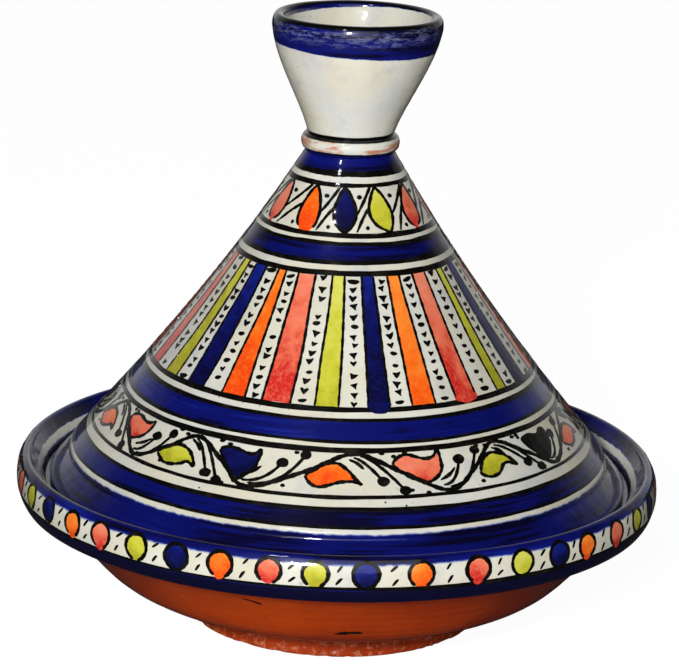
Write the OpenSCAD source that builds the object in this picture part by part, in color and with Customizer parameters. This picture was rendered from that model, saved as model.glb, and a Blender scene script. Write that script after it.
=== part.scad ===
// Conical cooking pot in glazed earthenware: a footed dish and a tall lid that lifts off it.
// Every piece is a solid of revolution about Z. The foot stands on z = 0, sizes are in mm.

/* [Dish] */
// Diameter of the dish over the bulge of its rolled rim
rim_d = 304; // [284:1:330]
// Height from the table to the top of the rim
dish_h = 78; // [74:1:86]
// Diameter of the foot ring
foot_d = 141; // [134:1:146]
// Height of the foot ring
foot_h = 11; // [9:0.5:12]
// Width of the foot ring's wall
foot_w = 9.5; // [7:0.5:13]
// Thickness of the dish's floor
floor_t = 8.5; // [7:0.5:11]

/* [Seat] */
// Distance from the rim's bulge to the outer edge of the seat that carries the lid
seat_inset = 14; // [13:0.5:16]
// Width of the flat seat
seat_w = 8.5; // [7.5:0.5:9]
// Depth of the seat below the top of the rim
seat_drop = 12; // [10:0.5:14]

/* [Lid] */
// Gap between the lid's flange and the dish's inner wall
lid_gap = 1.2; // [0.6:0.1:2]
// Overhang of the flange beyond the lid's shoulder
flange_out = 9.4; // [8:0.2:11]
// Height of the flange, from the seat to the shoulder
flange_h = 15; // [14:0.5:18]
// Height of the cone above the shoulder
cone_h = 143.5; // [125:0.5:160]
// Diameter of the cone's top, under the collar
cone_top_d = 42.4; // [41:0.2:45]
// Thickness of the cone's wall
wall_t = 7.5; // [6.5:0.5:8.5]

/* [Handle] */
// Height of the bead between the cone and the cup
bead_h = 8.5; // [7.5:0.5:12]
// Diameter of the bead
bead_d = 46.4; // [45.6:0.2:49]
// Diameter of the cup's narrow neck
neck_d = 41.2; // [40:0.2:42]
// Height of the cup
cup_h = 55.5; // [50:0.5:64]
// Diameter of the cup over its lip
lip_d = 79.6; // [72:0.2:86]
// Thickness of the cup's wall at the lip
lip_t = 6.4; // [5:0.2:7]
// Thickness of the solid bottom inside the cup
cup_floor_t = 8; // [6:0.5:12]

/* [Hidden] */
$fn = 144;

rim_r = rim_d / 2;
foot_r = foot_d / 2;
seat_z = dish_h - seat_drop;
seat_r = rim_r - seat_inset;
flange_r = seat_r - lid_gap;
shoulder_r = flange_r - flange_out;
shoulder_z = seat_z + flange_h;
cone_top_r = cone_top_d / 2;
cone_top_z = shoulder_z + cone_h;
bead_top_z = cone_top_z + bead_h;
neck_r = neck_d / 2;
lip_r = lip_d / 2;
cup_top_z = bead_top_z + cup_h;
cup_floor_z = bead_top_z + cup_floor_t;

// Cubic curve from a to d, pulled towards b and c. It leaves d out, so that curves can be joined.
function curve(a, b, c, d, steps = 10) =
    [for (i = [0 : steps - 1])
        let (t = i / steps, u = 1 - t)
        u * u * u * a + 3 * u * u * t * b + 3 * u * t * t * c + t * t * t * d];

// The dish's outside, from under its floor, over the belly, to the ledge under the rim
function dish_outside() =
    let (start = [foot_r + 4.5, foot_h], rim_foot = [rim_r - 11, dish_h - 22])
    concat([[0, foot_h]],
           curve(start, start + [45, 12], rim_foot + [-34, -29], rim_foot, 14),
           [rim_foot]);

// The rolled rim, from its lower edge, over the bulge and the rounded lip, to the seat
function dish_rim() =
    let (low = [rim_r - 2.9, dish_h - 21.6], brow = [rim_r - 1.8, dish_h - 2.4],
         lip_in = [rim_r - 7.2, dish_h - 2.2])
    concat(curve(low, [rim_r + 0.8, dish_h - 17], [rim_r + 0.9, dish_h - 7], brow),
           curve(brow, [rim_r - 3.3, dish_h + 0.7], [rim_r - 6.2, dish_h + 0.7], lip_in),
           curve(lip_in, [rim_r - 9.2, dish_h - 5], [rim_r - 11.6, dish_h - 7], [seat_r, seat_z], 6),
           [[seat_r, seat_z]]);

// The dish's inside, from the seat's inner edge down to the floor
function dish_inside() =
    let (edge = [seat_r - seat_w, seat_z], hip = [rim_r - 31, seat_z - 16.5],
         floor_edge = [foot_r, foot_h + floor_t])
    concat(curve(edge, edge + [-2.5, -1], hip + [5, 5.5], hip, 6),
           curve(hip, hip + [-8, -8.8], floor_edge + [26, 1], floor_edge, 12),
           [floor_edge, [0, foot_h + floor_t]]);

// The lid's outside, from the seat, round the flared flange and the shoulder, up the cone
function lid_outside() =
    let (toe = [flange_r - 2.5, seat_z], tip = [flange_r, seat_z + 2.3],
         waist = [shoulder_r + 0.2, shoulder_z - 3.4], top = [cone_top_r, cone_top_z])
    concat(curve(toe, toe + [1.6, 0], tip + [0.3, -1.2], tip, 5),
           curve(tip, tip + [-0.3, 1.6], waist + [1.4, -1.4], waist, 5),
           curve(waist, waist + [0, 2.4], [shoulder_r + 0.1, shoulder_z - 0.4],
                 [shoulder_r - 0.7, shoulder_z + 0.6], 5),
           curve([shoulder_r - 0.7, shoulder_z + 0.6], [shoulder_r - 41, shoulder_z + cone_h / 3],
                 [cone_top_r + 28.5, cone_top_z - cone_h / 3], top, 16),
           [top, [0, cone_top_z]]);

// The lid's hollow, from the closed crown down to the seat
function lid_inside() =
    let (crown = [0, cone_top_z - 1.3 * wall_t], dome = [cone_top_r - 9.5, crown[1] - 4.5],
         hip = [shoulder_r - 1.15 * wall_t, shoulder_z - 1.5], heel = [flange_r - 7, seat_z])
    concat(curve(crown, crown + [6, 0], dome + [-3, 3], dome, 5),
           curve(dome, [dome[0] + 38, dome[1] - 0.31 * cone_h],
                 [hip[0] - 36.8, hip[1] + 0.32 * cone_h], hip, 14),
           [hip, heel]);

module dish_bowl() {
    color("sienna")
        rotate_extrude()
            polygon(concat(dish_outside(), dish_rim(), dish_inside()));
}

module dish_foot_ring() {
    color("peru")
        rotate_extrude()
            polygon(concat([[foot_r - foot_w + 2, 0]],
                           curve([foot_r - 1.5, 0], [foot_r - 0.5, 0], [foot_r, 0.6], [foot_r, 1.6], 4),
                           [[foot_r, 1.6], [foot_r, foot_h - 2.4], [foot_r - 1, foot_h],
                            [foot_r - foot_w, foot_h], [foot_r - foot_w + 0.4, 1.8]]));
}

module lid_cone() {
    color("navy")
        rotate_extrude()
            polygon(concat(lid_outside(), lid_inside()));
}

module lid_collar_bead() {
    foot = [cone_top_r - 0.2, cone_top_z];
    top = [neck_r + 0.2, bead_top_z];
    bulge = bead_d / 2 + 0.9;
    color("linen")
        rotate_extrude()
            polygon(concat([[0, cone_top_z]],
                           curve(foot, [bulge, cone_top_z + 2], [bulge, bead_top_z - 2], top, 12),
                           [top, [0, bead_top_z]]));
}

// A flared cup, open at the top, with a solid bottom that closes it off from the lid's hollow
module lid_cup_handle() {
    brow = [lip_r, cup_top_z - 6.5];
    lip_in = [lip_r - lip_t, cup_top_z - 2.5];
    well = [neck_r - 7, cup_floor_z + 3];
    color("linen")
        rotate_extrude()
            polygon(concat([[0, bead_top_z]],
                           curve([neck_r, bead_top_z], [neck_r + 3.8, bead_top_z + 0.24 * cup_h],
                                 [lip_r - 2.2, cup_top_z - 0.42 * cup_h], brow, 12),
                           curve(brow, [lip_r + 0.4, cup_top_z - 2.2], [lip_r - 1.4, cup_top_z],
                                 [lip_r - 3, cup_top_z], 5),
                           curve([lip_r - 3, cup_top_z], [lip_r - 4.6, cup_top_z],
                                 [lip_r - lip_t + 0.4, cup_top_z - 0.8], lip_in, 4),
                           curve(lip_in, lip_in + [-1.2, -14], well + [6, 12], well, 12),
                           curve(well, well + [-1.4, -2], [well[0] - 4, cup_floor_z],
                                 [0, cup_floor_z], 5),
                           [[0, cup_floor_z]]));
}

dish_bowl();
dish_foot_ring();
lid_cone();
lid_collar_bead();
lid_cup_handle();
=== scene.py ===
"""Hand-painted earthenware tagine under a clear glaze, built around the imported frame.

Each clay part is a surface of revolution. Each brush mark is a thin closed shell of colour that lies on
one of them. Outlines are (radius, height) pairs in mm. A place on a surface is given in degrees round from
the front, growing to the right, and by its level: the height of the outline there, which keeps growing past
the crest of a rim, down its inner side.
"""
import math
import random

import bpy
import numpy as np
from mathutils import Matrix, Vector, noise
from mathutils.geometry import delaunay_2d_cdt


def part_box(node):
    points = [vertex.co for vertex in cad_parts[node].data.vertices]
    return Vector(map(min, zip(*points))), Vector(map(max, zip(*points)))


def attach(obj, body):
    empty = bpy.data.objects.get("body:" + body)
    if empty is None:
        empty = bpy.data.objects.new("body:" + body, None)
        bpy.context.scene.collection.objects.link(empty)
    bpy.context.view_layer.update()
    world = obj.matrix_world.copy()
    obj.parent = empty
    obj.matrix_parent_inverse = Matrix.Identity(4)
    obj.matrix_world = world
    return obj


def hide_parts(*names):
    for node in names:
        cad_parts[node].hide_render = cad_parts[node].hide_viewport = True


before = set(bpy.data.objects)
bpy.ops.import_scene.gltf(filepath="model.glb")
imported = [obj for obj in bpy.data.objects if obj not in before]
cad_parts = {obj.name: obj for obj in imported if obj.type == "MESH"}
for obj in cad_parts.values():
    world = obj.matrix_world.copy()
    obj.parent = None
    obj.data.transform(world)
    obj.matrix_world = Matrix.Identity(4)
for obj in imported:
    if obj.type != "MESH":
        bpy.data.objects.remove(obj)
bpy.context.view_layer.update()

MM = 0.001
SKIN = 0.42        # the clay lies this deep inside the CAD surface, so that the paint stays inside it too
FILL_LIFT = 0.06   # how far a colour patch stands off the clay
INK_LIFT = 0.10    # how far the lowest brush line stands off the clay
INK_SPREAD = 0.07  # brush lines that cross lie at different heights within this
SPILL_LIFT = INK_LIFT + INK_SPREAD + 0.02   # colour that ran over a line stands off the clay this far
SINK = 0.12        # how far a shell of paint reaches into the clay
COLUMNS = 360      # a part or a ring has this many columns of faces round it
TURNS = np.arange(COLUMNS) * 360 / COLUMNS


# ---- sizes, read from the frame

def corner(node, end):
    """The radius and height of the lowest (end 0) or highest (end 1) corner of a CAD node, in mm."""
    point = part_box(node)[end] / MM
    return abs(point.x), point.z


RIM_R, DISH_H = corner("dish_bowl", 1)
FOOT_R, FOOT_H = corner("dish_foot_ring", 1)
FLANGE_R, CONE_TOP_Z = corner("lid_cone", 1)
SEAT_Z = corner("lid_cone", 0)[1]
BEAD_R, BEAD_TOP_Z = corner("lid_collar_bead", 1)
LIP_R, CUP_TOP_Z = corner("lid_cup_handle", 1)
FOOT_W = 9.5
FLOOR_T = 8.5
SEAT_R = RIM_R - 14
SEAT_W = 8.5
SHOULDER_R = FLANGE_R - 9.4
SHOULDER_Z = SEAT_Z + 15
CONE_H = CONE_TOP_Z - SHOULDER_Z
CONE_TOP_R = 21.2
WALL_T = 7.5
NECK_R = 20.6
CUP_H = CUP_TOP_Z - BEAD_TOP_Z
CUP_FLOOR_Z = BEAD_TOP_Z + 8
LIP_T = 6.4
LID_LEAN = 0.005    # the lid leans to the right by this much of its height
CUP_LEAN = 0.026    # and the cup leans by this much more


# ---- curves

def at(r, z):
    return np.array([r, z], float)


def trace(start, *runs, closed=False):
    """An outline. Each run has its number of steps, the two points that pull it if it is a curve, and its
    end. A closed outline comes back to its start."""
    parts = []
    for steps, *pulls, end in runs:
        t = np.linspace(0, 1, steps, endpoint=False)[:, None]
        u = 1 - t
        if pulls:
            b, c = (np.array(pull) for pull in pulls)
            parts.append(u ** 3 * start + 3 * u * u * t * b + 3 * u * t * t * c + t ** 3 * end)
        else:
            parts.append(start + (np.array(end) - start) * t)
        start = np.array(end)
    return np.vstack(parts if closed else [*parts, end])


def smooth(points, step=0.8, closed=False):
    """A curve through the points, with a point about every step mm."""
    p = np.array(points, float)
    before, after = (p[-1:], p[:2]) if closed else (2 * p[:1] - p[1:2], 2 * p[-1:] - p[-2:-1])
    p = np.vstack([before, p, after])
    runs = []
    for a, b, c, d in zip(p, p[1:], p[2:], p[3:]):
        t = np.arange(0, 1, 1 / max(2, round(np.linalg.norm(c - b) / step)))[:, None]
        runs.append(0.5 * (2 * b + (c - a) * t + (2 * a - 5 * b + 4 * c - d) * t ** 2
                           + (3 * b - a - 3 * c + d) * t ** 3))
    return np.vstack(runs if closed else [*runs, p[-2:-1]])


def waver(rng, size, orders=(2, 3, 5, 9, 14, 23, 37)):
    """A smooth random function of an angle in degrees, about size high, that closes on itself."""
    terms = [(k, rng.uniform(0, 2 * math.pi), rng.gauss(0, 1) / k ** 0.4) for k in orders]
    return lambda degrees: size * sum(a * np.sin(k * np.radians(degrees) + p) for k, p, a in terms)


# ---- surfaces of revolution

def uneven(turn, along):
    """How the hand-thrown clay strays from its outline, in mm: slow waves and faint throwing rings."""
    slow = 0.08 * np.sin(2 * turn + 0.7 + along / 90) + 0.04 * np.sin(3 * turn + 1.9 - along / 60)
    fine = 0.02 * np.sin(7 * turn + along / 17) + 0.012 * np.sin(11 * turn - along / 9)
    rings = 0.022 * np.sin(along * 1.05 + 0.9 * np.sin(turn))
    return slow + fine + rings


class Surface:
    """A surface of revolution, walked along its outline with the clay on the left."""

    def __init__(self, body, outline):
        step = np.linalg.norm(np.diff(outline, axis=0), axis=1)
        outline = outline[np.r_[True, step > 1e-6]]
        self.body = body
        self.r, self.z = outline.T
        self.along = np.r_[0, np.cumsum(step[step > 1e-6])]
        self.level = self.z[0] + np.r_[0, np.cumsum(np.abs(np.diff(self.z)))]
        direction = np.gradient(outline, self.along, axis=0)
        direction /= np.linalg.norm(direction, axis=1)[:, None]
        self.out_r, self.out_z = direction[:, 1], -direction[:, 0]

    def at_level(self, level):
        return np.interp(level, self.level, self.along)

    def radius(self, along):
        return np.interp(along, self.along, self.r)

    def place(self, degrees, along, lift=0.0):
        """Points in metres, lifted off the clay by lift mm."""
        turn = np.radians(degrees)
        known = (self.r, self.z, self.out_r, self.out_z)
        r, z, out_r, out_z = (np.interp(along, self.along, values) for values in known)
        depth = lift - SKIN + uneven(turn, along)
        r, z = r + out_r * depth, z + out_z * depth
        shift = 0
        if self.body == "lid":
            shift = LID_LEAN * np.maximum(z - SEAT_Z, 0) + CUP_LEAN * np.maximum(z - BEAD_TOP_Z, 0)
        return np.stack([r * np.sin(turn) + shift, -r * np.cos(turn), z + 0 * turn], axis=-1) * MM

    def chart(self, points, degrees=0.0):
        """Chart points from (degrees, level) pairs, turned round the pot by some degrees."""
        angle, level = np.array(points, float).T
        return np.stack([angle + degrees, self.at_level(level)], axis=1)

    def normals(self, degrees, along):
        """The direction out of the clay, throwing rings included."""
        reach = 0.4
        side = np.degrees(reach / np.maximum(self.radius(along), 1))
        east = self.place(degrees + side, along) - self.place(degrees - side, along)
        north = self.place(degrees, along + reach) - self.place(degrees, along - reach)
        found = np.cross(east, north)
        return found / np.linalg.norm(found, axis=1)[:, None]

    def spot(self, degrees, level, turn=0.0, size=1.0):
        """A function that carries mm round a place, x to the right and y up the slope, to chart points."""
        middle = self.at_level(level)
        c, s = math.cos(math.radians(turn)) * size, math.sin(math.radians(turn)) * size

        def to_chart(points):
            x, y = np.array(points, float).T
            along = middle + s * x + c * y
            return np.stack([degrees + np.degrees((c * x - s * y) / self.radius(along)), along], axis=1)
        return to_chart


def dish_surface():
    start, rim_foot = at(FOOT_R + 4.5, FOOT_H), at(RIM_R - 11, DISH_H - 22)
    brow, lip_in = (RIM_R - 1.8, DISH_H - 2.4), (RIM_R - 7.2, DISH_H - 2.2)
    edge, hip = at(SEAT_R - SEAT_W, SEAT_Z), at(RIM_R - 31, SEAT_Z - 16.5)
    floor_edge = at(FOOT_R, FOOT_H + FLOOR_T)
    return Surface("dish", trace(
        at(0, FOOT_H),
        (16, start),
        (70, start + (45, 12), rim_foot - (34, 29), rim_foot),
        (5, (RIM_R - 2.9, DISH_H - 21.6)),
        (26, (RIM_R + 0.8, DISH_H - 17), (RIM_R + 0.9, DISH_H - 7), brow),
        (18, (RIM_R - 3.3, DISH_H + 0.7), (RIM_R - 6.2, DISH_H + 0.7), lip_in),
        (16, (RIM_R - 9.2, DISH_H - 5), (RIM_R - 11.6, DISH_H - 7), (SEAT_R, SEAT_Z)),
        (10, edge),
        (18, edge - (2.5, 1), hip + (5, 5.5), hip),
        (50, hip - (8, 8.8), floor_edge + (26, 1), floor_edge),
        (30, (0, FOOT_H + FLOOR_T))))


def foot_surface():
    buried = FOOT_H + 1.5
    inner = FOOT_R - FOOT_W
    return Surface("dish", trace(
        at(inner + 2, 0),
        (8, (FOOT_R - 1.5, 0)),
        (6, (FOOT_R - 0.5, 0), (FOOT_R, 0.6), (FOOT_R, 1.6)),
        (10, (FOOT_R, FOOT_H - 2.4)),
        (8, (FOOT_R, FOOT_H - 1), (FOOT_R - 0.6, FOOT_H), (FOOT_R - 1.4, buried)),
        (8, (inner, buried)),
        (10, (inner + 0.4, 1.8)),
        (6, (inner + 0.4, 0.8), (inner + 1, 0), (inner + 2, 0)), closed=True))


def lid_surface():
    toe, tip = at(FLANGE_R - 2.5, SEAT_Z), at(FLANGE_R, SEAT_Z + 2.3)
    waist = at(SHOULDER_R + 0.2, SHOULDER_Z - 3.4)
    shoulder = (SHOULDER_R - 0.7, SHOULDER_Z + 0.6)
    crown = at(0, CONE_TOP_Z - 1.3 * WALL_T)
    dome = at(CONE_TOP_R - 9.5, crown[1] - 4.5)
    hip = at(SHOULDER_R - 1.15 * WALL_T, SHOULDER_Z - 1.5)
    return Surface("lid", trace(
        toe,
        (8, toe + (1.6, 0), tip + (0.3, -1.2), tip),
        (18, tip + (-0.3, 1.6), waist + (1.4, -1.4), waist),
        (12, waist + (0, 2.4), (SHOULDER_R + 0.1, SHOULDER_Z - 0.4), shoulder),
        (128, (SHOULDER_R - 41, SHOULDER_Z + CONE_H / 3), (CONE_TOP_R + 28.5, CONE_TOP_Z - CONE_H / 3),
         (CONE_TOP_R, CONE_TOP_Z)),
        (8, (0, CONE_TOP_Z)),
        (2, crown),
        (8, crown + (6, 0), dome + (-3, 3), dome),
        (70, dome + (38, -0.31 * CONE_H), hip + (-36.8, 0.32 * CONE_H), hip),
        (14, (FLANGE_R - 7, SEAT_Z)),
        (6, toe), closed=True))


def bead_surface():
    foot = at(CONE_TOP_R - 0.2, CONE_TOP_Z)
    bulge = BEAD_R + 0.9
    return Surface("lid", trace(
        at(0, CONE_TOP_Z - 1),
        (4, foot - (1, 1)),
        (3, foot),
        (28, (bulge, CONE_TOP_Z + 2), (bulge, BEAD_TOP_Z - 2), (NECK_R + 0.2, BEAD_TOP_Z)),
        (6, (0, BEAD_TOP_Z))))


def cup_surface():
    foot, lip_in = at(NECK_R, BEAD_TOP_Z), at(LIP_R - LIP_T, CUP_TOP_Z - 2.5)
    well = at(NECK_R - 7, CUP_FLOOR_Z + 3)
    return Surface("lid", trace(
        at(0, BEAD_TOP_Z - 1),
        (4, foot - (1, 1)),
        (3, foot),
        (64, foot + (3.8, 0.24 * CUP_H), (LIP_R - 2.2, CUP_TOP_Z - 0.42 * CUP_H), (LIP_R, CUP_TOP_Z - 6.5)),
        (12, (LIP_R + 0.4, CUP_TOP_Z - 2.2), (LIP_R - 1.4, CUP_TOP_Z), (LIP_R - 3, CUP_TOP_Z)),
        (10, (LIP_R - 4.6, CUP_TOP_Z), lip_in + (0.4, 1.7), lip_in),
        (48, lip_in - (1.2, 14), well + (6, 12), well),
        (12, well - (1.4, 2), (well[0] - 4, CUP_FLOOR_Z), (0, CUP_FLOOR_Z))))


def new_mesh(name, points, faces, key, numbers):
    """A smooth mesh, with three numbers for each point in its attribute called key."""
    mesh = bpy.data.meshes.new(name)
    mesh.from_pydata(points, [], faces)
    mesh.shade_smooth()
    mesh.attributes.new(key, "FLOAT_VECTOR", "POINT").data.foreach_set("vector", np.ravel(numbers))
    return mesh


def add_piece(mesh, name, body, material, nodes=()):
    """A new object for the mesh, riding on its body."""
    mesh.materials.append(material)
    piece = bpy.data.objects.new(name, mesh)
    bpy.context.scene.collection.objects.link(piece)
    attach(piece, body)
    if nodes:
        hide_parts(*nodes)


def lathe(part, look, surface, paint, wear=None):
    """The clay of one CAD part. Its chart attribute holds mm along the outline and the level."""
    name = f"{part}_{look}"
    pole = surface.r < 0.01
    ids = np.zeros((len(pole), COLUMNS), int)
    points, chart = [], []
    for row, (along, level) in enumerate(zip(surface.along, surface.level)):
        columns = TURNS[:1] if pole[row] else TURNS
        ids[row] = len(points) + np.arange(COLUMNS) * (not pole[row])
        placed = surface.place(columns, along)
        points += [wear(Vector(p)) for p in placed] if wear else list(placed)
        chart += [(along, level, 0)] * len(columns)
    axis_to_axis = pole[0] and pole[-1]
    faces = []
    for row in range(len(pole) - int(axis_to_axis)):
        low, high = ids[row], ids[(row + 1) % len(pole)]
        if low[0] == low[1] and high[0] == high[1]:
            continue
        quads = np.stack([low, np.roll(low, -1), np.roll(high, -1), high], axis=1)
        if low[0] == low[1]:
            quads = quads[:, 1:]
        elif high[0] == high[1]:
            quads = quads[:, :3]
        faces += quads.tolist()
    mesh = new_mesh(name, points, faces, "chart", chart)
    mesh.set_sharp_from_angle(angle=math.radians(50))
    add_piece(mesh, name, surface.body, new_material(paint.__name__, paint), [part])


# ---- brushwork

def inside(points, outline):
    """Which points lie inside a closed outline."""
    x, y = points[:, :1], points[:, 1:]
    x1, y1 = outline.T
    x2, y2 = np.roll(outline, -1, axis=0).T
    rise = np.where(y2 == y1, 1e-12, y2 - y1)
    crossed = ((y1 > y) != (y2 > y)) & (x < (x2 - x1) * (y - y1) / rise + x1)
    return crossed.sum(axis=1) % 2 == 1


class Paint:
    """Brush marks of one colour on one surface, gathered into one piece."""

    def __init__(self, name, surface, slot, material):
        self.name, self.surface, self.slot, self.material = name, surface, slot, material
        self.rng = random.Random(name)
        self.chart, self.lift, self.mark, self.faces = [], [], [], []

    def shell(self, chart, faces, lift, mark):
        """A closed shell: its faces above the clay, the same faces sunk into it, and a wall round the edge.
        mark is each point's place in its own brush mark, across and along, from 0 to 1."""
        first, count = len(self.chart), len(chart)
        seed = self.rng.random()
        self.chart += [*chart, *chart]
        self.lift += [lift] * count + [-SINK] * count
        self.mark += [(u, v, seed) for u, v in mark] * 2
        border = {}
        for face in faces:
            for a, b in zip(face, [*face[1:], face[0]]):
                if border.pop((b, a), None) is None:
                    border[a, b] = True
        top, bottom = first, first + count
        self.faces += [[top + i for i in face] for face in faces]
        self.faces += [[bottom + i for i in reversed(face)] for face in faces]
        self.faces += [[top + b, top + a, bottom + a, bottom + b] for a, b in border]

    def ink_lift(self):
        return INK_LIFT + INK_SPREAD * self.rng.random()

    def ring(self, low, high, waves=0.16):
        """A line right round the pot, between two levels."""
        low_wave, high_wave = waver(self.rng, waves), waver(self.rng, waves)
        rows = [self.surface.at_level(low) + low_wave(TURNS), self.surface.at_level(high) + high_wave(TURNS)]
        chart = np.vstack([np.stack([TURNS, row], axis=1) for row in rows])
        faces = [[i, (i + 1) % COLUMNS, COLUMNS + (i + 1) % COLUMNS, COLUMNS + i] for i in range(COLUMNS)]
        mark = [(i / COLUMNS, row) for row in (0, 1) for i in range(COLUMNS)]
        self.shell(chart, faces, self.ink_lift(), mark)

    def stroke(self, path, width, start=0.55, end=0.4, shake=0.12):
        """A brush line along chart points, width mm wide at its fullest, start and end wide at its ends."""
        path = np.array(path)
        r = self.surface.radius(path[:, 1])
        step = np.gradient(path, axis=0)
        east, north = np.radians(step[:, 0]) * r, step[:, 1]
        length = np.hypot(east, north)
        t = np.cumsum(length) - length[0]
        whole = t[-1]
        t = t / whole
        tip = np.where(t < 0.5, start, end)
        fullness = tip + (1 - tip) * np.sin(np.pi * t)
        ends = np.clip(np.minimum(t, 1 - t) * whole / (0.5 * width), 0, 1)
        phase = self.rng.uniform(0, 6.28)
        ripple = np.sin(t * whole * 0.9 + phase) + 0.6 * np.sin(t * whole * 2.3 + 2 * phase)
        half = width / 2 * fullness * (1 + shake * ripple) * np.sqrt(1 - (1 - ends) ** 2) + 0.03
        side = np.stack([np.degrees(-north / length * half / r), east / length * half], axis=1)
        chart = np.vstack([path - side, path + side])
        n = len(path)
        faces = [[i, i + 1, n + i + 1, n + i] for i in range(n - 1)]
        self.shell(chart, faces, self.ink_lift(), [(0, v) for v in t] + [(1, v) for v in t])

    def patch(self, outline, lift=FILL_LIFT, grid=1.7, pooled=False):
        """A filled shape, from a closed loop of chart points. A pooled one is thick colour all over."""
        outline = np.array(outline)
        centre = outline.mean(axis=0)
        away = outline - centre
        flat = np.stack([np.radians(away[:, 0]) * self.surface.radius(outline[:, 1]), away[:, 1]], axis=1)
        low, high = flat.min(axis=0), flat.max(axis=0)
        x, y = np.meshgrid(*(np.arange(a, b, grid) for a, b in zip(low + grid / 2, high)))
        seeds = np.stack([x.ravel(), y.ravel()], axis=1)
        apart = np.linalg.norm(seeds[:, None] - flat[None], axis=2).min(axis=1)
        seeds = seeds[(apart > grid * 0.4) & inside(seeds, flat)]
        points = [Vector(p) for p in (*flat, *seeds)]
        found = delaunay_2d_cdt(points, [], [list(range(len(flat)))], 1, 1e-5)
        flat = np.array([tuple(p) for p in found[0]])
        faces = []
        for a, b, c in found[2]:
            (ax, ay), (bx, by), (cx, cy) = flat[[a, b, c]]
            area = (bx - ax) * (cy - ay) - (cx - ax) * (by - ay)
            faces.append([a, b, c] if area > 0 else [a, c, b])
        along = centre[1] + flat[:, 1]
        degrees = centre[0] + np.degrees(flat[:, 0] / self.surface.radius(along))
        mark = (flat - low) / (high - low) * (1, 0.1 if pooled else 1)
        self.shell(np.stack([degrees, along], axis=1), faces, lift, mark)

    def blob(self, spot, outline, step=0.6):
        """A small filled mark, from mm points round a spot."""
        self.patch(spot(smooth(outline, step, closed=True)), self.ink_lift())

    def oval(self, degrees, level, wide, tall):
        """A filled dot with a shaky edge, its size in mm."""
        shake = self.rng.uniform
        turns = np.linspace(0, 2 * math.pi, 9)[:-1]
        outline = [(wide / 2 * math.cos(a) * shake(0.88, 1.12), tall / 2 * math.sin(a) * shake(0.88, 1.12))
                   for a in turns]
        self.blob(self.surface.spot(degrees, level), outline)

    def finish(self):
        degrees, along = np.array(self.chart).T
        points = self.surface.place(degrees, along, np.array(self.lift))
        mesh = new_mesh(self.name, points, self.faces, "mark", self.mark)
        mesh.normals_split_custom_set_from_vertices(self.surface.normals(degrees, along))
        add_piece(mesh, self.name, self.surface.body, self.material)


# ---- materials

def node(tree, kind, *values, inputs=None, **settings):
    """A new node. Values go to its inputs in order, and inputs has more of them by name or number. A socket
    is linked, and any other value is set."""
    made = tree.nodes.new("ShaderNode" + kind)
    for name, value in settings.items():
        setattr(made, name, value)
    for key, value in (*enumerate(values), *(inputs or {}).items()):
        if isinstance(value, bpy.types.NodeSocket):
            tree.links.new(value, made.inputs[key])
        else:
            made.inputs[key].default_value = value
    return made


def times(tree, a, b):
    return node(tree, "Math", a, b, operation="MULTIPLY").outputs[0]


def total(tree, start, *terms):
    """The start plus each term, which is a value and its weight."""
    for value, weight in terms:
        start = node(tree, "Math", value, weight, start, operation="MULTIPLY_ADD").outputs[0]
    return start


def either(tree, *shares):
    """The sum of shares that lie apart, at most 1."""
    first, *others = shares
    for share in others:
        first = node(tree, "Math", first, share, operation="ADD", use_clamp=True).outputs[0]
    return first


def mix(tree, share, a, b):
    """Colour a turning into colour b as share goes from 0 to 1."""
    a, b = ((*colour, 1) if isinstance(colour, tuple) else colour for colour in (a, b))
    return node(tree, "Mix", share, inputs={6: a, 7: b}, data_type="RGBA").outputs[2]


def ramp(tree, value, *stops):
    """Stops are (position, colour) or (position, grey)."""
    made = node(tree, "ValToRGB", value)
    elements = made.color_ramp.elements
    for _ in stops[2:]:
        elements.new(1)
    for element, (position, _) in zip(elements, stops):
        element.position = position
    for element, (_, colour) in zip(elements, stops):
        element.color = (*colour, 1) if isinstance(colour, tuple) else (colour, colour, colour, 1)
    return made.outputs[0]


def stain(tree, colour, pattern, start, full, share, tint):
    """The colour, with a share of the tint over it where the pattern is above start, and all of that share
    above full."""
    return mix(tree, ramp(tree, pattern, (start, 0.0), (full, share)), colour, tint)


def attribute(tree, name):
    """The three numbers of a vector attribute."""
    found = node(tree, "Attribute", attribute_name=name)
    return node(tree, "SeparateXYZ", found.outputs["Vector"]).outputs


def place_of(tree):
    return node(tree, "TexCoord").outputs["Object"]


def sideways(tree):
    """How far a point is to the right, in metres."""
    return node(tree, "SeparateXYZ", place_of(tree)).outputs[0]


def speckle(tree, scale, detail=3.0, roughness=0.55, vector=None, warp=0.0):
    """Noise from 0 to 1. Scale is in blobs per metre, unless a vector is given."""
    settings = {"Scale": scale, "Detail": detail, "Roughness": roughness, "Distortion": warp}
    return node(tree, "TexNoise", place_of(tree) if vector is None else vector, inputs=settings).outputs[0]


def brushed(tree, along, across_scale, along_scale, detail, roughness, warp=0.0):
    """Noise that is drawn out round the pot, with its blobs per metre round it and per mm up it."""
    x, y, _ = node(tree, "SeparateXYZ", place_of(tree)).outputs
    parts = [times(tree, x, across_scale), times(tree, y, across_scale), times(tree, along, along_scale)]
    vector = node(tree, "CombineXYZ", *parts).outputs[0]
    return speckle(tree, 1.0, detail, roughness, vector, warp)


def finish(tree, colour, inputs):
    """The shader that ends a material's nodes."""
    shader = node(tree, "BsdfPrincipled", colour, inputs={"Specular IOR Level": 0.1, **inputs})
    node(tree, "OutputMaterial", shader.outputs[0])


RIPPLE_HEIGHT = 0.00042   # in metres, as is the next
GRAIN_HEIGHT = 0.00012


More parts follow.
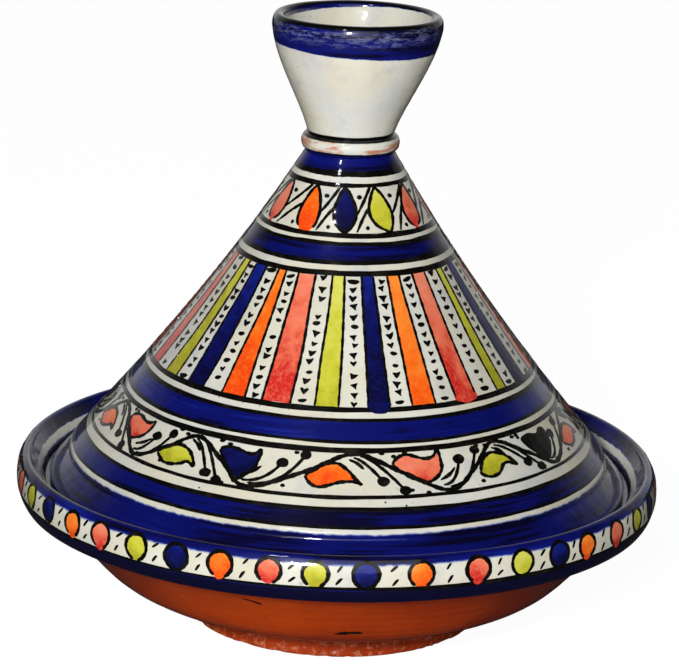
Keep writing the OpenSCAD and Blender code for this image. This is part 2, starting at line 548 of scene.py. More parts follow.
def glazed(tree, colour, roughness=0.3, coat=1.0, coat_roughness=0.06, dents=1.0, grain=None):
    """The shader of a colour under clear glaze. The same slow ripples run through every glazed material, so
    that a highlight crosses from one colour to the next unbroken."""
    ripple = total(tree, speckle(tree, 55, 2), (speckle(tree, 230, 2), 0.22))
    normal = node(tree, "Bump", dents, RIPPLE_HEIGHT, inputs={"Height": ripple}).outputs[0]
    if grain is not None:
        finer = node(tree, "Bump", 1.0, GRAIN_HEIGHT, inputs={"Height": grain, "Normal": normal})
        normal = finer.outputs[0]
    finish(tree, colour, {"Roughness": roughness, "Coat Weight": coat, "Coat Roughness": coat_roughness,
                          "Normal": normal, "Coat Normal": normal})


def new_material(name, paint, *colours):
    """A material whose nodes are made by paint."""
    material = bpy.data.materials.new(name)
    material.use_nodes = True
    material.node_tree.nodes.clear()
    paint(material.node_tree, *colours)
    return material


CREAM = (0.685, 0.675, 0.585)
CREAM_WARM = (0.635, 0.605, 0.475)
CREAM_COOL = (0.60, 0.61, 0.60)
PALE_BLUE = (0.12, 0.17, 0.47)
COBALT_LIGHT = (0.006, 0.016, 0.25)
COBALT = (0.0032, 0.0055, 0.12)
COBALT_DEEP = (0.0024, 0.0018, 0.02)
COBALT_SHADED = (0.0026, 0.0024, 0.022)
# A whitish blue for the painted sheen on the cup's lip: light reflected there, painted into the colour.
COBALT_SHEEN = (0.17, 0.19, 0.33)
CLAY = (0.46, 0.048, 0.0003)
CLAY_LIGHT = (0.55, 0.10, 0.012)
CLAY_DARK = (0.33, 0.027, 0.0003)
SOOT = (0.03, 0.012, 0.008)
INK = (0.0028, 0.0026, 0.0022)
INK_THIN = (0.016, 0.013, 0.009)
BLUE_SLOPE = 0.05   # the cup's blue band slopes this much, down to the right


def cream_colour(tree):
    """Mottled cream slip: faint stains of cobalt and clay, brush streaks and a few pits."""
    colour = CREAM
    for pattern, start, full, share, tint in (
            (speckle(tree, 34, 4), 0.38, 0.62, 1.0, CREAM_WARM),
            (speckle(tree, 21, 3, warp=0.6), 0.5, 0.72, 0.8, CREAM_COOL),
            (speckle(tree, 75, 5, 0.65, warp=0.4), 0.54, 0.72, 0.45, (0.43, 0.45, 0.52)),
            (speckle(tree, 48, 5, 0.65), 0.58, 0.74, 0.25, (0.60, 0.46, 0.34)),
            (speckle(tree, 420, 2), 0.71, 0.76, 0.55, (0.34, 0.26, 0.17))):
        colour = stain(tree, colour, pattern, start, full, share, tint)
    return colour


def cobalt_colour(tree, along, deeper=0.0):
    """Cobalt laid on with a wide brush: fine streaks round the pot and pools of thicker colour. It is darker
    where deeper is 1: on the cup, on a band of the lid and on the dish's crest, and as painted shade where
    the lid's flange sits down in the dish."""
    streaks = brushed(tree, along, 22, 0.55, 5, 0.65)
    pools = brushed(tree, along, 16, 0.09, 3, 0.5)
    amount = total(tree, 0.0, (streaks, 0.6), (pools, 0.55), (deeper, -0.07))
    return ramp(tree, amount, (0.46, COBALT_DEEP), (0.54, COBALT), (0.62, COBALT), (0.73, COBALT_LIGHT))


def clay_colour(tree, along):
    """Red earthenware with turning lines, light scratches, dark clouds and smears, and a darker right side.
    """
    clouds = speckle(tree, 17, 4, warp=0.5)
    colour = CLAY
    for pattern, start, full, share, tint in (
            (clouds, 0.36, 0.66, 1.0, CLAY_DARK),
            (brushed(tree, along, 5, 0.9, 3, 0.6), 0.48, 0.75, 0.35, CLAY_LIGHT),
            (brushed(tree, along, 26, 0.16, 3, 0.7), 0.66, 0.72, 0.85, SOOT),
            (brushed(tree, along, 46, 0.7, 3, 0.7, warp=1.2), 0.68, 0.73, 0.6, (0.55, 0.25, 0.16))):
        colour = stain(tree, colour, pattern, start, full, share, tint)
    # The clay is darker towards the right side of the pot.
    darker_on_right = step_up(tree, total(tree, sideways(tree), (clouds, 0.04)), 0.085, 0.014)
    colour = mix(tree, times(tree, darker_on_right, 0.65), colour, (0.19, 0.012, 0.0005))
    return stain(tree, colour, speckle(tree, 700, 2), 0.68, 0.76, 0.5, CLAY_LIGHT)


def step_up(tree, value, middle, softness):
    """0 below the middle and 1 above it, with a soft edge. A negative softness turns it over."""
    return node(tree, "MapRange", value, middle - softness, middle + softness, 0.0, 1.0,
                interpolation_type="SMOOTHSTEP").outputs[0]


def zone(tree, level, low, low_soft, high, high_soft):
    """1 between two levels in mm and 0 outside, with soft edges."""
    return times(tree, step_up(tree, level, low, low_soft), step_up(tree, level, high, -high_soft))


def zones(tree, level, *bands):
    """1 inside any band. A band is (low, softness, high, softness)."""
    return either(tree, *(zone(tree, level, *band) for band in bands))


def strayed(tree, level, slow, fine):
    """A level whose lines wander by slow mm over a hand's width and by fine mm over a brush hair's."""
    wander, fringe = speckle(tree, 16, 2), speckle(tree, 260, 3)
    spread = 2.5   # noise seldom goes further than 0.2 from its middle, 0.5
    middle = total(tree, level, (-0.5 * spread, slow + fine))
    return total(tree, middle, (wander, slow * spread), (fringe, fine * spread))


def over_slip(tree, cream, blue, cover):
    """Cobalt over cream. Where it is thin at its edge it runs out to pale blue."""
    colour = stain(tree, cream, cover, 0.02, 0.4, 1.0, PALE_BLUE)
    return mix(tree, ramp(tree, cover, (0.25, 0.0), (0.7, 1.0)), colour, blue)


def lid_glaze(tree):
    along, level, _ = attribute(tree, "chart")
    bands = zones(tree, strayed(tree, level, 0.15, 0.1), (SHOULDER_Z + 1.6, 0.3, SHOULDER_Z + 8.2, 0.3),
                  (113.7, 0.3, 122, 0.3), (182.2, 0.3, 189.7, 0.3), (218.3, 0.3, CONE_TOP_Z + 2, 0.3))
    flange = zone(tree, strayed(tree, level, 0.5, 0.7), 0.5, 0.4, SHOULDER_Z - 1.3, 1.1)
    # From the seat up over the shoulder the cobalt is darker: painted shade where the flange sits down in the
    # dish. The band from 181 to 191 mm is darker colour.
    deeper = zones(tree, level, (SEAT_Z - 2, 1, SHOULDER_Z + 9, 1), (181, 1, 191, 1))
    cobalt = cobalt_colour(tree, along, deeper)
    glazed(tree, over_slip(tree, cream_colour(tree), cobalt, either(tree, bands, flange)))


def dish_glaze(tree):
    along, level, _ = attribute(tree, "chart")
    crest = DISH_H
    bled, fine = strayed(tree, level, 0.5, 0.6), strayed(tree, level, 0.35, 0.12)
    # Painted shade: the blue band by the lid's seat (crest + 9.6 to + 13.4) darkens the gap under the lid's
    # flange, and the shaded cobalt darkens that band and the band under the rim's bulge.
    blue = either(tree, zone(tree, bled, crest - 3.4, 1.1, crest + 6, 0.6),
                  zone(tree, bled, crest + 9.6, 0.8, crest + 13.4, 0.3),
                  zone(tree, fine, crest - 24, 0.3, crest - 14.6, 0.3))
    shaded = zones(tree, fine, (crest - 23, 0.3, crest - 15, 1.0), (crest + 9, 1, crest + 14, 1))
    deeper = zone(tree, level, crest - 1.5, 1.5, crest + 7, 1)
    cobalt = mix(tree, shaded, cobalt_colour(tree, along, deeper), COBALT_SHADED)
    colour = over_slip(tree, cream_colour(tree), cobalt, blue)
    bare = zone(tree, fine, 0.5, 0.2, crest - 22, 0.3)
    glazed(tree, mix(tree, bare, colour, clay_colour(tree, along)))


def cup_glaze(tree):
    along, level, _ = attribute(tree, "chart")
    sloping = total(tree, strayed(tree, level, 1.3, 0.35), (sideways(tree), BLUE_SLOPE / MM))
    blue = zone(tree, sloping, CUP_TOP_Z - 15, 0.5, CUP_TOP_Z + 2.8, 0.4)
    # Painted sheen: whitish streaks on the blue just below the cup's lip stand for a broad light's reflection
    # there.
    sheen_streaks = ramp(tree, brushed(tree, along, 170, 0.8, 5, 0.7, warp=0.8), (0.47, 0.0), (0.66, 0.75))
    lip = zone(tree, strayed(tree, level, 3, 1), CUP_TOP_Z - 9, 2.5, CUP_TOP_Z - 2, 0.8)
    deeper = zone(tree, level, 0, 1, CUP_TOP_Z + 9, 1)
    cobalt = mix(tree, times(tree, sheen_streaks, lip), cobalt_colour(tree, along, deeper), COBALT_SHEEN)
    crest = zone(tree, strayed(tree, level, 0.8, 0.2), CUP_TOP_Z - 1.9, 0.5, CUP_TOP_Z + 1.3, 0.3)
    colour = over_slip(tree, cream_colour(tree), mix(tree, crest, cobalt, INK), blue)
    foot = step_up(tree, strayed(tree, level, 0.3, 0.1), BEAD_TOP_Z + 1.0, -0.2)
    glazed(tree, mix(tree, foot, colour, INK), dents=1.3)


def bead_glaze(tree):
    along, level, _ = attribute(tree, "chart")
    worn = brushed(tree, along, 60, 0.22, 4, 0.6)
    cream = stain(tree, cream_colour(tree), worn, 0.50, 0.62, 0.85, (0.46, 0.14, 0.05))
    fine = strayed(tree, level, 0.4, 0.15)
    colour = over_slip(tree, cream, cobalt_colour(tree, along), step_up(tree, fine, CONE_TOP_Z + 1.2, -0.3))
    glazed(tree, mix(tree, step_up(tree, fine, BEAD_TOP_Z - 1.2, 0.2), colour, INK))


def foot_clay(tree):
    """Rough clay with only a thin smear of glaze, chipped and dusty, and dark at the joint with the bowl."""
    along, level, _ = attribute(tree, "chart")
    colour = mix(tree, 0.4, clay_colour(tree, along), (0.20, 0.016, 0.001))
    colour = stain(tree, colour, speckle(tree, 330, 4, 0.7, warp=0.6), 0.52, 0.68, 0.7, (0.56, 0.24, 0.12))
    joint = zone(tree, strayed(tree, level, 0.6, 0.3), FOOT_H - 1.1, 0.4, FOOT_H + 5, 1)
    colour = mix(tree, joint, colour, (0.06, 0.008, 0.002))
    grain = speckle(tree, 900, 3)
    glazed(tree, colour, roughness=0.6, coat=0.35, coat_roughness=0.25, dents=1.5, grain=grain)


def ink(tree):
    """Brown-black line colour, thinner and browner where the brush ran dry."""
    glazed(tree, stain(tree, INK, speckle(tree, 150, 4, 0.6), 0.5, 0.8, 1.0, INK_THIN))


def wash(tree, pale, full, heavy):
    """A translucent wash that pools at the lower end of each brush mark, where it dries last."""
    _, up, seed = attribute(tree, "mark")
    cloud = speckle(tree, 120, 4, 0.6, warp=0.4)
    depth = total(tree, 0.0, (up, -0.42), (cloud, 0.85), (seed, 0.22))
    colour = ramp(tree, depth, (0.05, pale), (0.32, full), (0.54, heavy))
    glazed(tree, stain(tree, colour, speckle(tree, 650, 3, 0.7), 0.5, 0.75, 0.55, pale))


# ---- the decoration

def lid_rings(paint):
    """The black lines round the cone, from the collar down to the shoulder."""
    for low, high in ((216.9, 219.4), (212.6, 214.5), (192.1, 194.2), (188.9, 190.6), (181.4, 183.2),
                      (176.9, 179.1), (124.8, 126.8), (121.2, 122.8), (113.1, 114.4), (109.7, 111.7),
                      (92.9, 94.2), (88.6, 89.9), (SHOULDER_Z + 1.1, SHOULDER_Z + 2.1)):
        paint.ring(low, high)


# Each almond's colour, and the angles of its top, its left and right sides and its bottom. The first five
# face the viewer.
ALMONDS = [("coral", -62, -71.5, -54.5, -62.5), ("orange", -30, -38, -21.5, -29),
           ("blue", -3, -10.5, 6.5, -1.5), ("lime", 24.5, 16.5, 35, 30), ("coral", 60, 47, 64, 54)]
ALMONDS += [(("orange", "blue", "lime", "coral")[k % 4], *(a + 30 * k for a in (86, 78.5, 95.5, 89)))
            for k in range(7)]


def almond_frieze(ink_paint, fills):
    """Twelve almonds between the two upper rings, with a pair of slanted lines between neighbours."""
    surface = ink_paint.surface
    blunt_ends = {"orange": 5.3, "coral": 2.2}
    for k, (colour, top, left, right, bottom) in enumerate(ALMONDS):
        blunt = blunt_ends.get(colour, 0)
        foot = 195.2 if blunt else 194
        sides = []
        for side, sign in ((left, -1), (right, 1)):
            points = [(bottom + sign * blunt, foot), (0.3 * bottom + 0.7 * side + sign * blunt / 3, 197.6),
                      (side, 203), (0.58 * side + 0.42 * top, 209.3), (top, 212.9)]
            sides.append(surface.chart(smooth(points, 0.5)))
        if blunt:
            base = surface.chart([(bottom + 0.6 * blunt, 193.6), (bottom - 0.6 * blunt, 193.6)])
            fills[colour].patch(np.vstack([sides[0], sides[1][-2::-1], base]), INK_LIFT - 0.01)
        else:
            fills[colour].patch(np.vstack([sides[0], sides[1][-2:0:-1]]))
        for side in sides:
            ink_paint.stroke(side, 1.6, 0.8, 0.9)
        _, next_top, next_left, _, _ = ALMONDS[(k + 1) % len(ALMONDS)]
        lap = 360 * (k == len(ALMONDS) - 1)
        for start, end, bulge in (((right, 201.2), (next_top + lap - 4.6, 212.9), 0.2),
                                  ((bottom + 8, 194.4), (next_left + lap + 0.6, 204.6), 1.1)):
            t = np.linspace(0, 1, 34)[:, None]
            path = start + np.subtract(end, start) * t + (0, bulge) * np.sin(np.pi * t)
            ink_paint.stroke(surface.chart(path), 1.5, 0.55, 0.9)
        ink_paint.oval(right + 3, 208.8, 2.5, 2.2)
        ink_paint.oval(next_left + lap - 2.4, 196.3, 2.0, 2.0)


STRIPE_LOW, STRIPE_HIGH = 126.4, 177.4
# Each stripe's colour, and the angles of its left and right edges at the bottom and at the top. The first
# nine face the viewer.
STRIPES = [("lime", -64, -57.3, -62.7, -57), ("blue", -51, -44, -51.3, -43.2),
           ("orange", -36.9, -28.6, -35.6, -30.2), ("coral", -22.9, -14.1, -24, -14.7),
           ("lime", -7.4, -0.2, -6.2, -0.3), ("blue", 8.2, 14.5, 8.2, 14.2),
           ("orange", 20.9, 28.6, 21.4, 28.2), ("coral", 35.9, 42.9, 35.5, 43.6),
           ("lime", 52.7, 58, 52.7, 57.3)]
STRIPES += [(("blue", "orange", "coral", "lime")[k % 4], *(a + 15.5 * k for a in (64, 71, 64.6, 70.6)))
            for k in range(15)]
# The stripes whose colour ran over the line below them: how far, in mm, and how full the run is.
SPILLS = {5: (2.7, 1.0), 7: (1.6, 0.3), 11: (1.8, 0.3), 13: (3.2, 1.0), 18: (1.7, 0.3), 21: (3.0, 1.0)}
# The stripes whose left and right outlines go past that line, and by how many mm.
OVERSHOOTS = {2: (3, 3), 3: (3.2, 3), 5: (2.4, 0), 10: (2.8, 2.8), 16: (0, 3), 20: (3, 2.5)}
# The outlines of the small marks between stripes, in mm.
MARKS = (
    [(-1.4, 0.7), (-0.8, 1.1), (0, 0.6), (0.8, 1.1), (1.4, 0.6), (0.6, -0.6), (0.1, -1.2), (-0.6, -0.6)],
    [(-1.4, 0.9), (0, 1.0), (1.4, 0.9), (0.6, -0.3), (0.2, -1.4), (-0.5, -0.4)],
    [(-1.3, 0.2), (-0.6, 0.9), (1.0, 0.8), (1.4, 0.1), (0.5, -0.6), (-0.7, -0.5)],
    [(-1.2, 0.8), (0.2, 0.7), (1.4, 1.0), (1.0, -0.1), (-0.2, -1.2), (-0.8, -0.3)])
END_MARK = [(-1.9, 0.3), (-0.6, 0.8), (1.2, 0.9), (1.9, 0.4), (0.8, -0.6), (-1.2, -0.6)]


def stripe_field(ink_paint, mark_paint, fills):
    """Twenty-four stripes down the cone, and a column of small marks between neighbours."""
    surface = ink_paint.surface
    t = np.linspace(0, 1, 72)
    levels = STRIPE_LOW + (STRIPE_HIGH - STRIPE_LOW) * t
    rng = random.Random("stripes")
    edges = []
    for _, *angles in STRIPES:
        pair = [low + (high - low) * t + 0.25 * waver(rng, 0.7, (1, 3, 5, 8))(t * 90)
                for low, high in (angles[::2], angles[1::2])]
        edges.append([surface.chart(np.stack([edge, levels], axis=1)) for edge in pair])
    for k, (colour, *_) in enumerate(STRIPES):
        left, right = edges[k]
        fills[colour].patch(np.vstack([left[::-1], right]))
        if k in SPILLS:
            reach, fullness = SPILLS[k]
            wide = math.radians(right[0, 0] - left[0, 0]) * surface.radius(left[0, 1]) / 2
            outline = [(-wide, 2.4), (wide, 2.4), (wide * 0.98, 0),
                       (wide * 0.6, -reach * (0.4 + 0.5 * fullness)), (-wide * 0.1, -reach),
                       (-wide * 0.65, -reach * (0.2 + 0.6 * fullness)), (-wide * 0.98, 0)]
            spot = surface.spot((right[0, 0] + left[0, 0]) / 2, STRIPE_LOW)
            fills[colour].patch(spot(smooth(outline, 0.7, closed=True)), SPILL_LIFT, pooled=True)
        for side, overshoot in zip((left, right), OVERSHOOTS.get(k, (0, 0))):
            start = side[0] - (0, overshoot)
            ink_paint.stroke(np.vstack([start, side[1:]]), rng.uniform(1.15, 1.4), 0.8, 0.85, shake=0.16)
    marks = 14
    for k in range(len(STRIPES)):
        right, left = edges[k][1][:, 0], edges[(k + 1) % len(STRIPES)][0][:, 0]
        left = left + 360 * (k == len(STRIPES) - 1)
        for i in range(marks):
            share = (i + 0.45 + rng.uniform(-0.2, 0.2)) / marks
            level = STRIPE_LOW + (STRIPE_HIGH - STRIPE_LOW) * share
            middle = (np.interp(share, t, right) + np.interp(share, t, left)) / 2
            gap = math.radians(np.interp(share, t, left - right)) * surface.radius(surface.at_level(level))
            if rng.random() < 0.04:
                continue
            at_end = i in (0, marks - 1) and rng.random() < 0.7
            outline = END_MARK if at_end else rng.choice(MARKS)
            size = min(rng.uniform(1.1, 1.5), gap / 3.6)
            spot = surface.spot(middle + rng.uniform(-0.35, 0.35), level, rng.uniform(-16, 16), size)
            mark_paint.blob(spot, outline, 0.5)


# The turns of the vine, troughs and crests in turn: angle, level, the colour of the leaf, and its two
# berries, in degrees from the turn and level. The first seven face the viewer.
VINE = [(-53.5, 95.1, "coral", (3.7, 104.2), (8.5, 107)), (-37, 108.9, "lime", (5.9, 96.8), (9.1, 95)),
        (-20.5, 94.6, "blue", (7.3, 104.8), (12.7, 108.4)), (4, 109.4, "orange", (6.5, 99.3), (11.3, 95.8)),
        (26, 94.8, "coral", (4.2, 105.4), (9.5, 107.8)), (42, 109.5, "lime", (8.2, 99), (11.9, 96)),
        (60.3, 95, "black", (4.6, 104.6), (9.5, 107.6))]
VINE += [(77.9 + 17.6 * k, (109, 95)[k % 2], ("orange", "coral", "lime", "blue")[k % 4],
          *(((6.5, 98.4), (10.8, 95.8)), ((4.6, 104.8), (9.6, 107.8)))[k % 2]) for k in range(13)]
# The outlines of the leaves in (degrees from the turn, level), clockwise from the root of the leaf.
UPPER_LEAVES = (
    [(-10.5, 106.5), (-9, 108), (-6.5, 108.3), (-3.5, 107.3), (-1.5, 107.4), (0.3, 108.4), (0, 105),
     (-1, 102.5), (-3, 100.7), (-6, 99.5), (-9.5, 103.5)],
    [(-9, 106), (-7.5, 107.5), (-5.5, 107.7), (-1.5, 106.5), (0, 106.7), (1.4, 108.4), (1.3, 104), (0.6, 101),
     (-1, 98.5), (-3, 97), (-6.5, 101.5)],
    [(-12.7, 105), (-11.5, 107.8), (-9, 108.8), (-5, 107), (-2.5, 107.5), (-0.9, 109.6), (-0.7, 105),
     (-1.2, 102), (-3, 99.5), (-5.5, 98.3), (-9, 100.5)])
LOWER_LEAVES = (
    [(-9.5, 99.5), (-7, 102.5), (-5, 103.8), (-3.5, 104.2), (-1, 103.2), (0.7, 101.3), (1.5, 99.8), (2.1, 98),
     (0, 99), (-1.5, 97.8), (-4, 96.6), (-6.5, 96.5), (-8.3, 97.8)],
    [(-11.3, 100.8), (-9.5, 103), (-6.5, 105.7), (-4, 105.8), (-2.5, 104.5), (-1, 102.5), (0, 100.5),
     (1.5, 98.3), (0.3, 99.2), (-1.5, 99.3), (-3.5, 99), (-5.5, 98), (-8, 97), (-10, 98)],
    [(-7, 99.5), (-5.5, 103.2), (-3.5, 105.3), (-1.5, 105.6), (1, 104.3), (3, 102), (4.4, 99.4), (2, 100.8),
     (0.3, 100.6), (-1, 99), (-2.2, 97.7), (-4.5, 97.1), (-6.3, 98)])
BLACK_LEAF = [(-8, 104.5), (-8.5, 107.5), (-5, 108.5), (-1.5, 107.3), (0.5, 108.7), (2.8, 107.8), (2.8, 103),
              (0, 98.5), (-2.5, 97), (-6, 101)]


def scroll_frieze(ink_paint, fills):
    """A vine that waves round the shoulder, with a leaf and two berries at each turn."""
    surface = ink_paint.surface
    rng = random.Random("scroll")
    middle = 102
    turns = [angle for angle, *_ in VINE] + [VINE[0][0] + 360]
    wave = []
    for (angle, level, *_), following in zip(VINE, turns[1:]):
        wave += [(angle, level), ((angle + following) / 2 + (0.3 if level < middle else 0.8), middle)]
    laps = [(wave[-1][0] - 360, middle)] + wave + [(a + 360, z) for a, z in wave[:2]]
    vine = surface.chart(smooth(laps, 0.5))
    for ends in zip(turns, turns[1:]):
        first, last = np.searchsorted(vine[:, 0], ends)
        ink_paint.stroke(vine[first:last + 3], 2.1, 0.95, 0.95, shake=0.14)
    for k, (root, level, colour, near, far) in enumerate(VINE):
        trough = level < middle
        if colour == "black":
            ink_paint.patch(surface.chart(smooth(BLACK_LEAF, 0.4, closed=True), root), INK_LIFT)
        else:
            leaf = (UPPER_LEAVES if trough else LOWER_LEAVES)[k // 2 % 3]
            outline = surface.chart(smooth(leaf, 0.4, closed=True), root)
            fills[colour].patch(outline)
            ink_paint.stroke(np.vstack([outline, outline[:2]]), 1.6, 0.95, 0.95, shake=0.2)
        bend = 2.5 if trough else 1.6
        feet = ((-1.6, 96.8), (0, 96)) if trough else ((-0.4, 108), (1.2, 108.6))
        for foot, berry, size in zip(feet, (near, far), ((6.0, 4.6), (5.4, 4.4))):
            t = np.linspace(0, 1, 24)[:, None]
            path = foot + np.subtract(berry, foot) * np.hstack([t, t ** bend])
            ink_paint.stroke(surface.chart(path, root), 1.55, 0.65, 0.9)
            ink_paint.oval(root + berry[0], berry[1], *size)
        if trough:
            hatch = [(-2, 98.6), (0.6, 100.3), (2.6, 102.7)]
            specks = ((13, 108.6), (10.6, 109.2), (8.6, 96.2), (-5.4, 94.6), (-9.6, 109.2))
        else:
            hatch = [(-1.5, 107.4), (0.6, 106), (2.2, 103.8)]
            specks = ((6.8, 109.3), (9.4, 108.4), (13.2, 95.6))
        ink_paint.stroke(surface.chart(smooth(hatch, 0.4), root), 1.7, 0.5, 0.5)
        for x, z in specks:
            if rng.random() < 0.85:
                ink_paint.oval(root + x + rng.uniform(-0.5, 0.5), z + rng.uniform(-0.4, 0.4),
                               rng.uniform(2.2, 3.0), 1.7)
    for angle, level in ((-31, 91), (10.5, 91.8), (15, 90.4)):
        ink_paint.oval(angle, level, 1.0, 0.8)


# The angles of the drops on the rim. The first seventeen face the viewer.
DROPS = [-67, -59, -50.8, -43.2, -35, -27, -19, -10.7, -3, 5.3, 14.5, 24.5, 33, 41, 48, 57, 65.5]
DROPS += [65.5 + 227.5 / 28 * k for k in range(1, 28)]
DROP = [(0, -5.9), (3.2, -4.5), (5.4, -1.2), (5.2, 2.4), (3.0, 5.1), (0, 6.0), (-3.0, 5.1), (-5.2, 2.4),
        (-5.4, -1.2), (-3.2, -4.5)]
BLEED = [(-2.2, -4.4), (2.1, -4.5), (1.5, -6.1), (0, -6.8), (-1.6, -6.2)]
DASH = [(-1.5, -1.5), (-0.8, -1.8), (0.5, -0.5), (1.6, 1.2), (1.2, 1.7), (0.1, 1.2), (-1.0, -0.3)]


def rim_dots(ink_paint, fills):
    """Forty-four painted drops round the rim, with two slanted dashes between neighbours."""
    surface = ink_paint.surface
    rng = random.Random("rim")
    drop, bleed = smooth(DROP, 0.7, closed=True), smooth(BLEED, 0.6, closed=True)
    for k, (angle, following) in enumerate(zip(DROPS, [*DROPS[1:], DROPS[0] + 360])):
        colour = ("lime", "blue", "orange", "coral")[k % 4]
        spot = surface.spot(angle, DISH_H - 8.1 + rng.uniform(-0.2, 0.2), rng.uniform(-5, 5),
                            rng.uniform(0.95, 1.03))
        fills[colour].patch(spot(drop), grid=1.2)
        gap = rng.randrange(0, 4) if colour != "blue" else 0
        ink_paint.stroke(spot(drop[gap:len(drop) - gap]), rng.uniform(1.6, 2.0), 0.85, 0.85, shake=0.14)
        if colour in ("orange", "coral") and rng.random() < 0.7:
            fills[colour].patch(spot(bleed), SPILL_LIFT, grid=1.2, pooled=True)
        for below in (5.2, 10.9):
            beside = surface.spot((angle + following) / 2 + rng.uniform(-0.3, 0.3),
                                  DISH_H - below + rng.uniform(-0.4, 0.4), rng.uniform(-14, 8),
                                  rng.uniform(0.8, 1.0))
            ink_paint.blob(beside, DASH, 0.5)


def bowl_smears(paint):
    """Three dark strokes on the bare clay, two of them near the foot: two smears that the kiln left,
    and a painted shadow in a crack.
    """
    for width, *path in ((2.6, (0.4, 27.8), (2.5, 28.6), (5, 29.1), (7, 28.8)),
                         (1.5, (-17.5, 48.2), (-15.5, 46.9), (-13.8, 45.4)),
                         # This last stroke is painted shadow: the dark line of a crack near the foot.
                         (1.2, (-46, 14.6), (-38, 14.4), (-29, 13.4))):
        paint.stroke(paint.surface.chart(smooth(path, 0.5)), width, 0.3, 0.5, shake=0.3)


def chipped(point):
    """The point, sunk where there is a chip or a pit in the foot's worn clay."""
    rough = noise.fractal(point / MM * 0.16, 0.9, 2.1, 4)
    return point - point.normalized() * MM * max(0.0, min(0.7, rough * 2.2))


# Each wash where it is thin, where it is full and where it has pooled.
WASHES = {
    "coral_glaze": ((0.82, 0.25, 0.15), (0.78, 0.155, 0.08), (0.60, 0.022, 0.016)),
    "orange_glaze": ((0.95, 0.27, 0.035), (0.94, 0.14, 0.009), (0.84, 0.06, 0.005)),
    "lime_glaze": ((0.64, 0.62, 0.11), (0.54, 0.53, 0.034), (0.38, 0.36, 0.016)),
    "blue_wash": ((0.008, 0.018, 0.24), (0.0035, 0.005, 0.085), (0.0025, 0.0025, 0.03)),
    "navy_wash": ((0.0045, 0.007, 0.10), (0.003, 0.0032, 0.045), (0.0024, 0.0022, 0.02)),
}


def build_pot():
    dish, lid, bead, cup = dish_surface(), lid_surface(), bead_surface(), cup_surface()
    lathe("dish_bowl", "glazed", dish, dish_glaze)
    lathe("dish_foot_ring", "worn", foot_surface(), foot_clay, chipped)
    lathe("lid_cone", "glazed", lid, lid_glaze)
    lathe("lid_collar_bead", "glazed", bead, bead_glaze)
    lathe("lid_cup_handle", "glazed", cup, cup_glaze)

    black = new_material("black_line", ink)
    washes = {name: new_material(name, wash, *shades) for name, shades in WASHES.items()}
    lines, colours = [], []

    def black_paint(name, surface):
        lines.append(Paint(name, surface, "black_line", black))
        return lines[-1]

    def fills(name, surface, blue="blue_wash"):
        made = {c: Paint(f"{name}_{c}", surface, f"{c}_glaze", washes[f"{c}_glaze"])
                for c in ("coral", "orange", "lime")}
        made["blue"] = Paint(f"{name}_blue", surface, "cobalt_glaze", washes[blue])
        colours.extend(made.values())
        return made

    lid_rings(black_paint("lid_ring_lines", lid))
    black_paint("collar_line", bead).ring(CONE_TOP_Z + 0.9, CONE_TOP_Z + 1.8, 0.2)
    black_paint("rim_lower_line", dish).ring(DISH_H - 15.3, DISH_H - 13.7, 0.2)
    bowl_smears(black_paint("bowl_smears", dish))
    almond_frieze(black_paint("almond_frieze_lines", lid), fills("almonds", lid, "navy_wash"))
    stripe_field(black_paint("stripe_lines", lid), black_paint("stripe_marks", lid), fills("stripes", lid))
    scroll_frieze(black_paint("scroll_vine", lid), fills("scroll_leaves", lid, "navy_wash"))
    rim_dots(black_paint("rim_drop_lines", dish), fills("rim_drops", dish))
    for paint in (*lines, *colours):
        paint.finish()


# ---- camera, floor and light

def add_camera():
    """A long lens, a little above the pot, that leans slightly so that the pot leans to the right."""
    elevation, roll = math.radians(15.43), math.radians(2.0)
    distance, target = 1.450, Vector((-0.00108, 0, 0.1348))
    camera = bpy.data.objects.new("camera", bpy.data.cameras.new("camera"))
    camera.data.sensor_width, camera.data.lens = 36, 163.24
    camera.data.clip_start, camera.data.clip_end = 0.05, 60
    turned = Matrix.Rotation(math.pi / 2 - elevation, 3, "X") @ Matrix.Rotation(roll, 3, "Z")
    camera.matrix_world = Matrix.LocRotScale(target + turned.col[2] * distance, turned.to_quaternion(), None)
    bpy.context.scene.collection.objects.link(camera)
    bpy.context.scene.camera = camera


LIGHT_AIM = 0.12   # the height that all lights look at, in metres


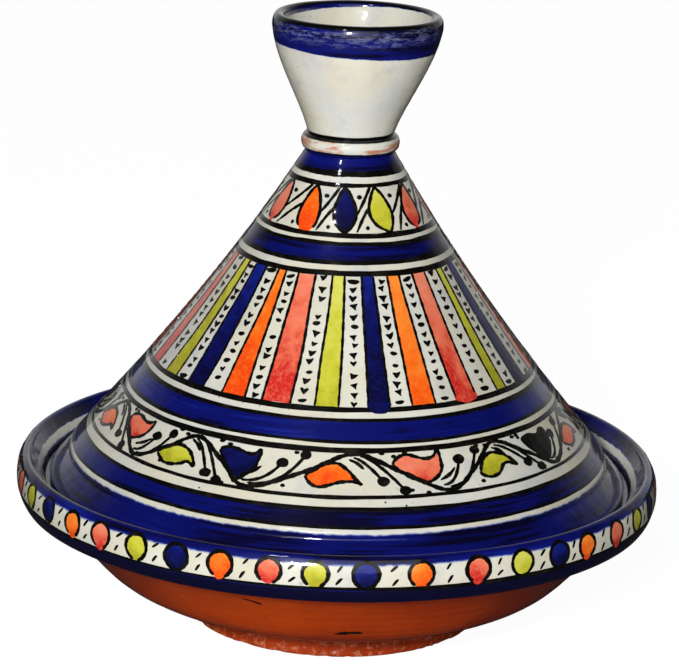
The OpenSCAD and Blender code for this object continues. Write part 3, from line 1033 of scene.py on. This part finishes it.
def add_light(name, azimuth, elevation, distance, size, power):
    """A square area light that looks at the pot. Azimuth 0 is the viewer's side, growing to the right."""
    a, e = math.radians(azimuth), math.radians(elevation)
    away = Vector((math.sin(a) * math.cos(e), -math.cos(a) * math.cos(e), math.sin(e)))
    lamp = bpy.data.lights.new(name, "AREA")
    lamp.shape, lamp.size, lamp.energy = "SQUARE", size, power
    light = bpy.data.objects.new(name, lamp)
    light.location = Vector((0, 0, LIGHT_AIM)) + away * distance
    light.rotation_mode = "QUATERNION"
    light.rotation_quaternion = away.to_track_quat("Z", "Y")
    bpy.context.scene.collection.objects.link(light)


def pale_floor(tree):
    """White to the camera, dark in the glaze's reflections, and pale to all other light."""
    ray = node(tree, "LightPath").outputs
    seen = mix(tree, ray["Is Camera Ray"], (0.8, 0.8, 0.8), (0.1, 0.1, 0.1))
    glow = times(tree, ray["Is Camera Ray"], 0.96)
    finish(tree, mix(tree, ray["Is Glossy Ray"], seen, (0.03, 0.03, 0.03)),
           {"Roughness": 0.8, "Emission Color": (1, 1, 1, 1), "Emission Strength": glow})


def add_floor():
    mesh = bpy.data.meshes.new("floor")
    turns = [2 * math.pi * k / 64 for k in range(64)]
    mesh.from_pydata([(9 * math.cos(a), 9 * math.sin(a), -0.0002) for a in turns], [], [list(range(64))])
    mesh.materials.append(new_material("pale_floor", pale_floor))
    floor = bpy.data.objects.new("floor", mesh)
    bpy.context.scene.collection.objects.link(floor)


def add_world():
    """A studio that is bright behind and beside the pot and dim on the viewer's side."""
    world = bpy.data.worlds.new("studio")
    world.use_nodes = True
    tree = world.node_tree
    tree.nodes.clear()
    y = node(tree, "SeparateXYZ", node(tree, "TexCoord").outputs["Generated"]).outputs[1]
    colour = ramp(tree, y, (0.36, 0.012), (0.50, 0.08), (0.75, 0.28), (1.0, 0.60))
    node(tree, "OutputWorld", node(tree, "Background", colour, 1.0).outputs[0])
    bpy.context.scene.world = world


add_camera()
build_pot()
add_floor()
add_world()
add_light("key", -10, 21, 2.0, 0.2, 35)
add_light("fill", 4, 18, 2.6, 2.2, 14)
add_light("spark", -24, 48, 2.0, 0.1, 1.6)
bpy.context.scene.view_settings.view_transform = "Standard"
